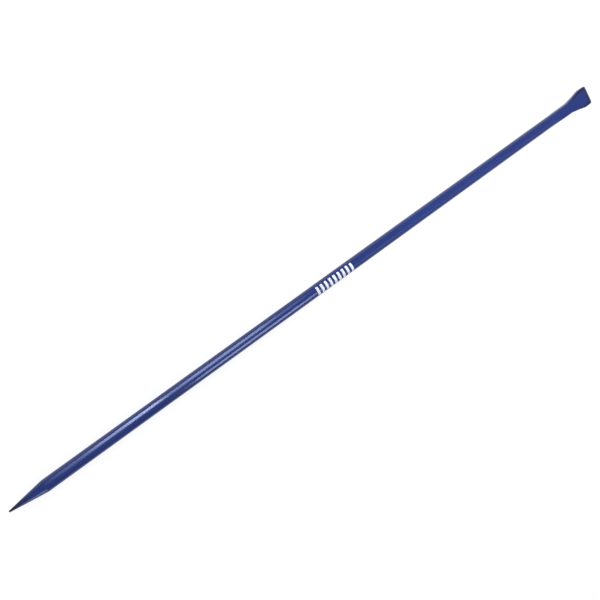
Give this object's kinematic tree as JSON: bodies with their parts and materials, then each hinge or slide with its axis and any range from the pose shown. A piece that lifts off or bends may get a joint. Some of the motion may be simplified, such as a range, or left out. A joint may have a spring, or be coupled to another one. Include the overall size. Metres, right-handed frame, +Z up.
{
  "type": "digging bar",
  "caption": "Long solid round steel bar, painted blue, with a tapered point at one end for breaking ground and a flared chisel blade at the other for prying and cutting roots.",
  "frame": {"origin": "on the floor under the middle of the bar's length and width, as the bar lies with its blade level", "axes": "+X along the bar, from the point to the cutting edge; +Y across the blade's width; +Z up, through the blade's thickness"},
  "size_m": [1.5, 0.0424, 0.025],
  "materials": {
    "blue_enamel": "glossy blue enamel over forged steel"
  },
  "bodies": {
    "root": {"pointed_end": "blue_enamel", "shank": "blue_enamel", "chisel_end": "blue_enamel"}
  },
  "joints": []
}
